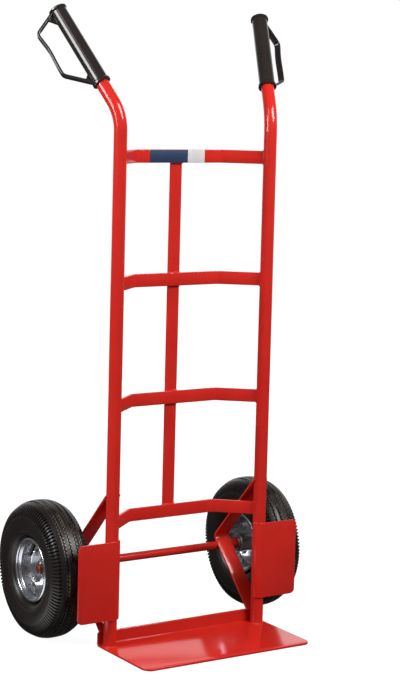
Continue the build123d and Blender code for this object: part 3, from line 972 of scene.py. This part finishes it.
def tooth(edge, out, shift):
    # a three-cornered block on the edge of a rib, pointing into the groove
    foot = edge - math.copysign(TOOTH_SINK, out)
    plan = [(foot, shift - TOOTH_HALF), (edge + out, shift), (foot, shift + TOOTH_HALF)]
    rings = []
    for lift in (-GROOVE_D - TOOTH_SINK, -TOOTH_LOW):
        rings.append([Vector((along, y, on_tread(edge)[1] + lift)) * MM for along, y in plan])
    return skin(rings)


pitch = math.tau * TYRE_R / PITCHES
pitch_shapes = [shoulder_rib(1), shoulder_rib(-1)]
for sign, shift in ((1, 0.0), (-1, pitch / 2)):
    for start, stop in GROOVES:
        pitch_shapes.append(tooth(sign * start, sign * TOOTH_OUT, shift))
        pitch_shapes.append(tooth(sign * stop, -sign * TOOTH_OUT, shift + pitch / 2))
print("one pitch of", round(pitch, 2), "mm has", len(pitch_shapes), "blocks")

# %% [markdown]
# A tan colour on the teeth is a painted highlight for the pale glints along the zigzag edges. Their place
# tells the material where they are: inside the lines of the grooves, but above the bottom. A noise makes
# the painted highlight patchy.

# %% Painted highlight on the zigzag edges
ZIGZAG_HIGHLIGHT_COLOUR = (0.1, 0.084, 0.067, 1)
HIGHLIGHT_LEAST_R = 126.8 * MM
HIGHLIGHT_REACH = 2.9 * MM
HIGHLIGHT_SCALE = 30.0
HIGHLIGHT_DETAIL = 2.0
HIGHLIGHT_SPREAD = (0.42, 0.6)
HIGHLIGHT_LEAST = 0.1


# painted highlight: a patchy tan on the zigzag teeth stands in for glints of light on their edges
def with_painted_highlight(material):
    tree = material.node_tree
    place = add_node(tree, "ShaderNodeTexCoord").outputs["Object"]
    split = add_node(tree, "ShaderNodeSeparateXYZ", {0: place}).outputs
    aside = maths(tree, "SUBTRACT", maths(tree, "ABSOLUTE", split["X"]), wheel_x)
    across = maths(tree, "ABSOLUTE", aside)
    squares = []
    for axis, centre in (("Y", axle_y), ("Z", axle_z)):
        offset = maths(tree, "SUBTRACT", split[axis], centre)
        squares.append(maths(tree, "MULTIPLY", offset, offset))
    radius = maths(tree, "SQRT", maths(tree, "ADD", *squares))
    in_groove = []
    for start, stop in GROOVES:
        off_line = maths(tree, "ABSOLUTE", maths(tree, "SUBTRACT", across, (start + stop) / 2 * MM))
        in_groove.append(maths(tree, "LESS_THAN", off_line, HIGHLIGHT_REACH))
    raised = maths(tree, "GREATER_THAN", radius, HIGHLIGHT_LEAST_R)
    on_tooth = maths(tree, "MULTIPLY", maths(tree, "ADD", *in_groove), raised)
    patches = mapped(tree, noise_in(tree, HIGHLIGHT_SCALE, HIGHLIGHT_DETAIL), *HIGHLIGHT_SPREAD, HIGHLIGHT_LEAST, 1.0)
    colour = tree.nodes["Principled BSDF"].inputs["Base Color"]
    clean = colour.links[0].from_socket
    tree.links.new(mixed(tree, maths(tree, "MULTIPLY", on_tooth, patches), clean, ZIGZAG_HIGHLIGHT_COLOUR), colour)


with_painted_highlight(tyre_rubber)
print("painted highlight added to", tyre_rubber.name)

# %% Raised rings on the side walls, then the whole tyre
TYRE_SIDES = 2 * PITCHES
TREAD_SHARP = 30
WALL_RING_R = 0.9
WALL_RINGS = ((39.2, 100.2), (35.6, 73.0))


def joined(made, shapes, finish):
    # adds turned shapes to an object that has its other parts already
    extra = piece(made.name + ".turned", shapes, finish)
    work = bmesh.new()
    work.from_mesh(made.data)
    work.from_mesh(extra.data)
    work.to_mesh(made.data)
    work.free()
    bpy.data.objects.remove(extra)
    return made


turned_profiles = [tyre_profile]
for along, radius in WALL_RINGS:
    bead = rolled_bead(along, radius, WALL_RING_R, sides=8)
    turned_profiles += [bead, flipped(bead)]
for side in SIDES:
    tyre = ring_of(f"tread_tyre_{side}", pitch_shapes, PITCHES, 0.0, side, tyre_rubber, TREAD_SHARP)
    centre = Matrix.Translation(wheel_centre[f"wheel_{side}"])
    turned = [lathe(profile, centre, TYRE_SIDES) for profile in turned_profiles]
    settle(joined(tyre, turned, tyre_rubber), tyre_rubber, f"wheel_{side}", f"tyre_{side}")

# %% [markdown]
# ### Valves
# The inner tube's valve leans out of the well of the outer rim half: a rubber stem with a collar where it
# passes the steel, and a cap. Both are turned about the valve's own axis, so we only need a place for
# that.

# %% Valve stems and caps
VALVE_SIDES = 32
VALVE_ANGLE = math.radians(15)
VALVE_LEAN = math.radians(31)
VALVE_OUT = 11.0
VALVE_FOOT = 53.5
STEM_LEN = 22.0
STEM_FOOT = [(-3, 0), (-3, 4), (1.0, 4), (1.6, 5.6), (4.4, 5.6), (5.2, 4.4)]
STEM_TIP = [(STEM_LEN - 2, 3.7), (STEM_LEN, 3.2)]
NECK_R = 2.6
NECK_LEN = 4.9
CAP_LEN = 9.0
CAP_R = 3.5
CAP_EDGE = 1.0
CAP_EDGE_LEN = 1.2
CAP_BORE_R = 2.65
CAP_BORE_LEN = 5.4
CAP_PLAY = 0.05

stem_axis = Vector((math.sin(VALVE_LEAN), 0, -math.cos(VALVE_LEAN)))
stem_turn = stem_axis.rotation_difference(X).inverted().to_matrix().to_4x4()
valve_foot = Matrix.Translation(Vector((VALVE_OUT, 0, VALVE_FOOT)) * MM)
valve_place = wheel_place @ Matrix.Rotation(-VALVE_ANGLE, 4, "X") @ valve_foot @ stem_turn
neck_stop = STEM_LEN + NECK_LEN
stem_profile = STEM_FOOT + STEM_TIP + [(STEM_LEN, NECK_R), (neck_stop, NECK_R), (neck_stop, 0)]
cap_start = STEM_LEN + CAP_PLAY
cap_stop = cap_start + CAP_LEN
cap_profile = [
    (cap_start, CAP_BORE_R),
    (cap_start, CAP_R),
    (cap_stop - CAP_EDGE_LEN, CAP_R),
    (cap_stop, CAP_R - CAP_EDGE),
    (cap_stop, 0),
    (cap_start + CAP_BORE_LEN, 0),
    (cap_start + CAP_BORE_LEN, CAP_BORE_R),
]
stem_shape = lathe(stem_profile, valve_place, VALVE_SIDES, closed=False)
cap_shape = lathe(cap_profile, valve_place, VALVE_SIDES)
pair("rubber_valve_stem", [stem_shape], tube_rubber, "wheel_SIDE", "valve_stem")
pair("moulded_valve_cap", [cap_shape], cap_plastic, "wheel_SIDE", "valve_cap")

# %% [markdown]
# ## Grips
# Each grip is one moulding: a sleeve with a flange at both ends, a guard that keeps the knuckles clear,
# and a small web in both corners. The sleeve is turned, which keeps its long highlight clean. Mouldings
# have no sharp inner corners, so the guard and its webs are laid into each other, melted together with a
# voxel remesh and smoothed, which leaves the fillets that a mould would.

# %% Turn the sleeve
GRIP_R = 15.0
FLANGE_R = 17.5
FLANGE_T = 6.0
FLANGE_EDGE = 1.0
FLANGE_DRAFT = 0.8
FLANGE_FOOT = 1.5
SLEEVE_TOP = [(2.2, FLANGE_R), (0.8, FLANGE_R - 1.6), (0.3, GRIP_R - 4), (0, 0)]
GUARD_ROLL = math.radians(26)

grip_mm = GRIP_LEN / MM
across = (X - handle * handle.x).normalized()
guard_out = across * math.cos(GUARD_ROLL) + handle.cross(across) * math.sin(GUARD_ROLL)
guard_side = handle.cross(guard_out)
grip_foot = Matrix.Translation(bend_corner + handle * GRIP_START)
grip_place = grip_foot @ Matrix((guard_out, guard_side, handle)).transposed().to_4x4()
flange_face = [
    (FLANGE_T - FLANGE_EDGE, FLANGE_R),
    (FLANGE_T, FLANGE_R - FLANGE_DRAFT),
    (FLANGE_T + FLANGE_FOOT, GRIP_R),
]
sleeve_profile = [(0, 0), (0, FLANGE_R - FLANGE_EDGE), (FLANGE_EDGE, FLANGE_R)] + flange_face
sleeve_profile += [(grip_mm - along, radius) for along, radius in reversed(flange_face)]
sleeve_profile += [(grip_mm - along, radius) for along, radius in SLEEVE_TOP]
lathe_up = Matrix.Rotation(-math.pi / 2, 4, "Y")
sleeve_shape = lathe(sleeve_profile, grip_place @ lathe_up, sides=96, closed=False)
print("the sleeve has", len(sleeve_shape[1]), "faces")

# %% Outlines of the guard and its webs
GUARD_OUT = 57.0
GUARD_LOW = 46.0
GUARD_HIGH = 141.0
GUARD_LEAN = 2.0
GUARD_BEND_R = 11.0
GUARD_SINK = 5.0
GUARD_FOOT = 5.0
GUARD_TOP = 4.0

strap_root = GRIP_R - GUARD_SINK
strap_corners = [
    (strap_root, GUARD_FOOT),
    (GUARD_OUT - GUARD_LEAN, GUARD_LOW),
    (GUARD_OUT, GUARD_HIGH),
    (strap_root, grip_mm - GUARD_TOP),
]
web_plans = [
    [(strap_root, 6), (GRIP_R + 11, 17.5), (GRIP_R - 2, 31)],
    [(strap_root, grip_mm - 6), (GRIP_R + 13, grip_mm - 15), (GRIP_R - 2, grip_mm - 33)],
]
print("the guard stands", GUARD_OUT - GRIP_R, "mm off the sleeve")

# %% Bend the guard and cut its webs
GUARD_DIP = 2.6
DIP_SKEW = 1.3
STRAP_W = 13.0
STRAP_T = 5.0
STRAP_EDGE = 1.4
STRAP_PARTS = 16
LONG_RUN = 30.0
WEB_T = 4.0


def in_grip(points):
    return [Vector((out, 0, up)) * MM for out, up in points]


strap_line = []
for point in rounded(in_grip(strap_corners), GUARD_BEND_R * MM):
    if strap_line and (point - strap_line[-1]).length > LONG_RUN * MM:
        strap_line += [strap_line[-1].lerp(point, part / STRAP_PARTS) for part in range(1, STRAP_PARTS)]
    strap_line.append(point)
for point in strap_line:
    # the long side dips a little towards the hand
    rise = (point.z / MM - GUARD_LOW) / (GUARD_HIGH - GUARD_LOW)
    if 0 < rise < 1:
        point.x -= GUARD_DIP * MM * math.sin(math.pi * rise ** DIP_SKEW) ** 2
strap_section = flat_section(STRAP_T * MM, STRAP_W * MM, STRAP_EDGE * MM)
guard_shapes = [moved(sweep(strap_line, strap_section, Y), grip_place)]
for plan in web_plans:
    rings = [[point + Y * offset * WEB_T / 2 * MM for point in in_grip(plan)] for offset in (-1, 1)]
    guard_shapes.append(moved(skin(rings), grip_place))
print("the strap follows", len(strap_line), "points")

# %% Melt the guard and join it to the sleeve
VOXEL = 0.85 * MM
EASE_SHARE = 0.5
EASE_ROUNDS = 6


def melted(made):
    remesh = made.modifiers.new("melt", "REMESH")
    remesh.mode = "VOXEL"
    remesh.voxel_size = VOXEL
    remesh.use_smooth_shade = True
    ease = made.modifiers.new("ease", "SMOOTH")
    ease.factor = EASE_SHARE
    ease.iterations = EASE_ROUNDS
    return made_plain(made)


for side, sign in SIDES.items():
    guard = melted(piece(f"moulded_grip_{side}", on_side(guard_shapes, sign), grip_plastic))
    grip = joined(guard, on_side([sleeve_shape], sign), grip_plastic)
    settle(grip, grip_plastic, "frame", f"grip_{side}")

# %% [markdown]
# ## Welds
# Bars, brackets, tubes and fenders are joined by small weld beads under the paint. A bead is a row of
# overlapping drops along a seam, so a second Geometry Nodes tree resamples the seam and puts a drop on
# each point, with a little seeded variation in size.

# %% The bead tree
DROP_SHAPE = {"Segments": 8, "Rings": 5}
DROP_LEAST = 0.85
DROP_MOST = 1.15
DROP_SEED = 7


def bead_tree():
    inputs = {"Spacing": "Float", "Drop radius": "Float", "Material": "Material"}
    tree, given, out = new_tree("Weld bead", inputs)
    curve = add_node(tree, "GeometryNodeMeshToCurve", {0: given["Geometry"]}).outputs[0]
    evenly = {"Curve": curve, "Length": given["Spacing"]}
    spots = add_node(tree, "GeometryNodeResampleCurve", evenly, mode="LENGTH").outputs[0]
    ball = {"Radius": given["Drop radius"], **DROP_SHAPE}
    drop = add_node(tree, "GeometryNodeMeshUVSphere", ball).outputs["Mesh"]
    limits = {2: DROP_LEAST, 3: DROP_MOST, "Seed": DROP_SEED}
    scale = add_node(tree, "FunctionNodeRandomValue", limits).outputs[1]
    on_spots = {"Points": spots, "Instance": drop, "Scale": scale}
    copies = add_node(tree, "GeometryNodeInstanceOnPoints", on_spots).outputs[0]
    real = add_node(tree, "GeometryNodeRealizeInstances", {0: copies}).outputs[0]
    smooth = add_node(tree, "GeometryNodeSetShadeSmooth", {"Geometry": real}).outputs[0]
    finished = {"Geometry": smooth, "Material": given["Material"]}
    tree.links.new(add_node(tree, "GeometryNodeSetMaterial", finished).outputs[0], out[0])
    return tree


BEAD = bead_tree()
print("tree", BEAD.name, "has", len(BEAD.nodes), "nodes")

# %% Seams on the right-hand side
FOOT_STEPS = 40
LEG_STEPS = 9
LEG_REACH = 0.98
TACK = 18 * MM
TACK_INSET = 12 * MM
SEAT_SPREAD = 0.6

seams = []
bar_across = Vector((bow, BOW_RUN, 0)).normalized()
bar_reach = math.sqrt(tube_r ** 2 - (bar_t / 2) ** 2)
for height in bar_heights:
    bar_end = Vector((tube_x, 0, height)) + bar_slope * bar_reach
    corners = ((-1, -1), (-1, 1), (1, 1), (1, -1), (-1, -1))
    seams.append([bar_end + bar_across * a * bar_t / 2 + Z * b * bar_h / 2 for a, b in corners])
turns = [math.tau * i / FOOT_STEPS for i in range(FOOT_STEPS + 1)]
seams.append([Vector((tube_x + tube_r * math.cos(t), tube_r * math.sin(t), plate_t)) for t in turns])
upper_leg = (bracket_top - bracket_apex).normalized()
for face in (-1, 1):
    seam = []
    for step in range(-LEG_STEPS, LEG_STEPS + 1):
        x = tube_r * LEG_REACH * step / LEG_STEPS
        y = math.sqrt(tube_r ** 2 - x ** 2)
        z = bracket_top.z + (y / upper_leg.y) * upper_leg.z + face * BRACKET_T / 2 / abs(upper_leg.y)
        seam.append(Vector((tube_x + x, y, z)))
    seams.append(seam)
curl_edge = fender_line[-1]
for start in (fender_low.z + TACK_INSET, fender_high.z - TACK_INSET - TACK):
    seams.append([Vector((curl_edge.x, curl_edge.y, z)) for z in (start, start + TACK)])
for face in (-1, 1):
    seat = Vector((0, axle_y, axle_z)) + leg_out * axle_r + leg_up * face * axle_r * SEAT_SPREAD
    seams.append([seat + X * bracket_low.x, seat + X * bracket_high.x])
seams.append([bracket_foot - X * bracket_w / 2, bracket_foot + X * bracket_w / 2])
print(len(seams), "seams on one side")

# %% All seams, and the beads on them
DROP_R = 1.5 * MM
DROP_SPACING = 1.5 * MM

seams += [[Vector((-p.x, p.y, p.z)) for p in seam] for seam in seams]
for height in bar_heights:
    for lift in (-1, 1):
        z = height + lift * bar_h / 2
        if centre_low.z < z < centre_high.z:
            seams.append([Vector((x, bow + bar_t / 2, z)) for x in (centre_low.x, centre_high.x)])

seam_points = []
seam_edges = []
for seam in seams:
    first = len(seam_points)
    seam_points += seam
    seam_edges += [(first + i, first + i + 1) for i in range(len(seam) - 1)]
seam_mesh = bpy.data.meshes.new("weld_beads")
seam_mesh.from_pydata(seam_points, seam_edges, [])
drops = {"Spacing": DROP_SPACING, "Drop radius": DROP_R, "Material": red_paint}
settle(run_tree(put("weld_beads", seam_mesh), BEAD, drops), red_paint, "frame")

# %% [markdown]
# ## The label
# A two-tone paper label sits on the front of the top crossbar: one dark block and one pale block, each a
# thin slip with rounded corners that lies on the steel.

# %% Stick the label on
LABEL_T = 0.2 * MM
LABEL_H = 24.4 * MM
LABEL_EDGE = 0.06 * MM
LABEL_CORNER_R = 0.8 * MM
LABEL_ENDS = (-66.5 * MM, 17.5 * MM, 55 * MM)

label_y = bow - bar_t / 2 - LABEL_T / 2
label_z = bar_heights[-1]
for name, start, stop, finish in (
    ("label_dark_block", LABEL_ENDS[0], LABEL_ENDS[1], label_dark),
    ("label_pale_block", LABEL_ENDS[1], LABEL_ENDS[2], label_pale),
):
    line = [Vector((start, label_y, label_z)), Vector((stop, label_y, label_z))]
    slip_shape = blank(line, Z, LABEL_T, LABEL_H, LABEL_EDGE, LABEL_CORNER_R, LABEL_CORNER_R)
    slip = piece(name, [slip_shape], finish)
    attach(slip, "frame")
    print(name, len(slip.data.polygons), "faces")

# %% [markdown]
# ## Pieces that stay as the frame has them
# The inner tubes and the sleeves between the bearings are closed in, so their construction shapes stay.
# They only get a finish.

# %% Finish the hidden pieces
for side in SIDES:
    for node, finish in ((f"inner_tube_{side}", tube_rubber), (f"bearing_spacer_{side}", plated_steel)):
        for slot in frame["nodes"][node].material_slots:
            slot.material = finish
        print(node, "gets", finish.name)

# %% [markdown]
# ## Studio
# A pale floor, a white background and soft light. Floor and world are white only for the camera.
# Reflections see a studio instead: a bright backdrop behind the truck, which shows as a pale sheen on the
# flat toe plate, a darker room in front, so that the paint keeps its colour, and a pale patch of floor
# beside the left wheel, which brightens its rim. Far out, the floor fades into the background.

# %% Floor material
FLOOR_GREY = (0.14, 0.14, 0.14, 1)
SHADOW_GREY = (0.2, 0.2, 0.2, 1)
SHEEN_CENTRE = (-0.53, 0.04, 0)

# a near and a far distance, then the strength at each
SHEEN_FADE = (0.19, 0.25, 2.3, 0.07)
GLOW_FADE = (1.0, 3.0, 0.95, 1.0)


def where(tree, mask, otherwise, shader):
    # one shader where the mask is 1, another where it is 0
    return add_node(tree, "ShaderNodeMixShader", {0: mask, 1: otherwise, 2: shader}).outputs[0]


floor_paint = bpy.data.materials.new("pale floor")
floor_paint.use_nodes = True
tree = floor_paint.node_tree
tree.nodes.remove(tree.nodes["Principled BSDF"])
rays = add_node(tree, "ShaderNodeLightPath").outputs
place = add_node(tree, "ShaderNodeTexCoord").outputs["Object"]
apart = add_node(tree, "ShaderNodeVectorMath", {0: place, 1: SHEEN_CENTRE}, operation="DISTANCE")
distance = apart.outputs["Value"]
matt = add_node(tree, "ShaderNodeBsdfDiffuse", {"Color": FLOOR_GREY}).outputs[0]
shadow = add_node(tree, "ShaderNodeBsdfDiffuse", {"Color": SHADOW_GREY}).outputs[0]
sheen = add_node(tree, "ShaderNodeEmission", {"Strength": mapped(tree, distance, *SHEEN_FADE)}).outputs[0]
glow = add_node(tree, "ShaderNodeEmission", {"Strength": mapped(tree, distance, *GLOW_FADE)}).outputs[0]
seen = add_node(tree, "ShaderNodeAddShader", {0: shadow, 1: glow}).outputs[0]
unseen = where(tree, rays["Is Glossy Ray"], matt, sheen)
surface = where(tree, rays["Is Camera Ray"], unseen, seen)
tree.links.new(surface, tree.nodes["Material Output"].inputs["Surface"])
print("floor material has", len(tree.nodes), "nodes")

# %% Floor
FLOOR_HALF = 6.0
FLOOR_Z = -0.5 * MM

floor_mesh = bpy.data.meshes.new("studio_floor")
floor_corners = [(x * FLOOR_HALF, y * FLOOR_HALF, FLOOR_Z) for x, y in ((-1, -1), (1, -1), (1, 1), (-1, 1))]
floor_mesh.from_pydata(floor_corners, [], [(0, 1, 2, 3)])
floor_mesh.materials.append(floor_paint)
put("studio_floor", floor_mesh)
print("floor", 2 * FLOOR_HALF, "m across")

# %% World
AMBIENT = 0.12
BACKDROP = (0.545, 0.838, 0)

# a low and a high value of the direction, then the strength at each
BACKDROP_FADE = (0.55, 0.8, 0.16, 1.0)
CEILING_FADE = (0.5, 0.8, 1.0, 0.45)

world = bpy.data.worlds.new("white studio")
world.use_nodes = True
bpy.context.scene.world = world
tree = world.node_tree
tree.nodes.remove(tree.nodes["Background"])


def light_of(strength):
    return add_node(tree, "ShaderNodeBackground", {"Color": WHITE, "Strength": strength}).outputs[0]


rays = add_node(tree, "ShaderNodeLightPath").outputs
direction = add_node(tree, "ShaderNodeTexCoord").outputs["Generated"]
height = add_node(tree, "ShaderNodeSeparateXYZ", {0: direction}).outputs["Z"]
towards = add_node(tree, "ShaderNodeVectorMath", {0: direction, 1: BACKDROP}, operation="DOT_PRODUCT")
behind = mapped(tree, towards.outputs["Value"], *BACKDROP_FADE)
room = light_of(maths(tree, "MULTIPLY", behind, mapped(tree, height, *CEILING_FADE)))
unseen = where(tree, rays["Is Glossy Ray"], light_of(AMBIENT), room)
surface = where(tree, rays["Is Camera Ray"], unseen, light_of(1.0))
tree.links.new(surface, tree.nodes["World Output"].inputs["Surface"])
print("world has", len(tree.nodes), "nodes")

# %% [markdown]
# Two soft boxes light the truck from the left and from the front. Two reflectors above them draw the short
# highlights on the bent tubes. A lamp behind lifts the far side, and stays out of the reflections.

# %% Lamps
TRUCK_MIDDLE = Vector((0, 0.05, 0.6))
LAMPS = (
    ("soft box left", (-2.3, 0.1, 1.5), 1.0, 53),
    ("soft box right", (0.85, -1.76, 2.3), 1.1, 69),
    ("reflector left", (-1.91, -0.53, 2.6), 0.8, 9),
    ("reflector front", (0.24, -1.89, 2.6), 0.8, 9),
    ("fill behind", (1.6, 2.6, 0.9), 1.4, 22),
)

for name, place, size, power in LAMPS:
    light = bpy.data.lights.new(name, "AREA")
    light.shape = "RECTANGLE"
    light.size = size
    light.size_y = size
    light.energy = power
    lamp = put(name, light)
    lamp.location = place
    lamp.rotation_euler = (TRUCK_MIDDLE - Vector(place)).to_track_quat("-Z", "Y").to_euler()
    lamp.visible_camera = False
    lamp.visible_glossy = name != "fill behind"
    print(name, power, "W")

# %% [markdown]
# ## Camera
# The place and lens come from matching the tubes, bars, axle and toe plate to the picture. The lens is
# long, so the uprights stay nearly parallel, and a small shift keeps the truck in the frame.

# %% Place the camera
CAMERA_AT = Vector((-1.89805, -2.93902, 1.04609))
CAMERA_TURN = -0.57673
CAMERA_PITCH = 0.10228
CAMERA_ROLL = 0.02573
CAMERA_SHIFT = -0.1
FOCAL_PIXELS = 1879.85
PICTURE_HEIGHT = 694
SENSOR_WIDTH = 36

level = math.cos(CAMERA_PITCH)
ahead = Vector((-math.sin(CAMERA_TURN) * level, math.cos(CAMERA_TURN) * level, -math.sin(CAMERA_PITCH)))
right = Vector((math.cos(CAMERA_TURN), math.sin(CAMERA_TURN), 0))
above = right.cross(ahead)
rolled_right = right * math.cos(CAMERA_ROLL) + above * math.sin(CAMERA_ROLL)
rolled_above = above * math.cos(CAMERA_ROLL) - right * math.sin(CAMERA_ROLL)
lens = bpy.data.cameras.new("picture camera")
lens.sensor_width = SENSOR_WIDTH
lens.lens = FOCAL_PIXELS / PICTURE_HEIGHT * SENSOR_WIDTH
lens.shift_y = CAMERA_SHIFT
camera = put("picture camera", lens)
turned = Matrix((rolled_right, rolled_above, -ahead)).transposed().to_4x4()
camera.matrix_world = Matrix.Translation(CAMERA_AT) @ turned
bpy.context.scene.camera = camera
bpy.context.scene.view_settings.view_transform = "Standard"
print("lens", round(lens.lens, 1), "mm")
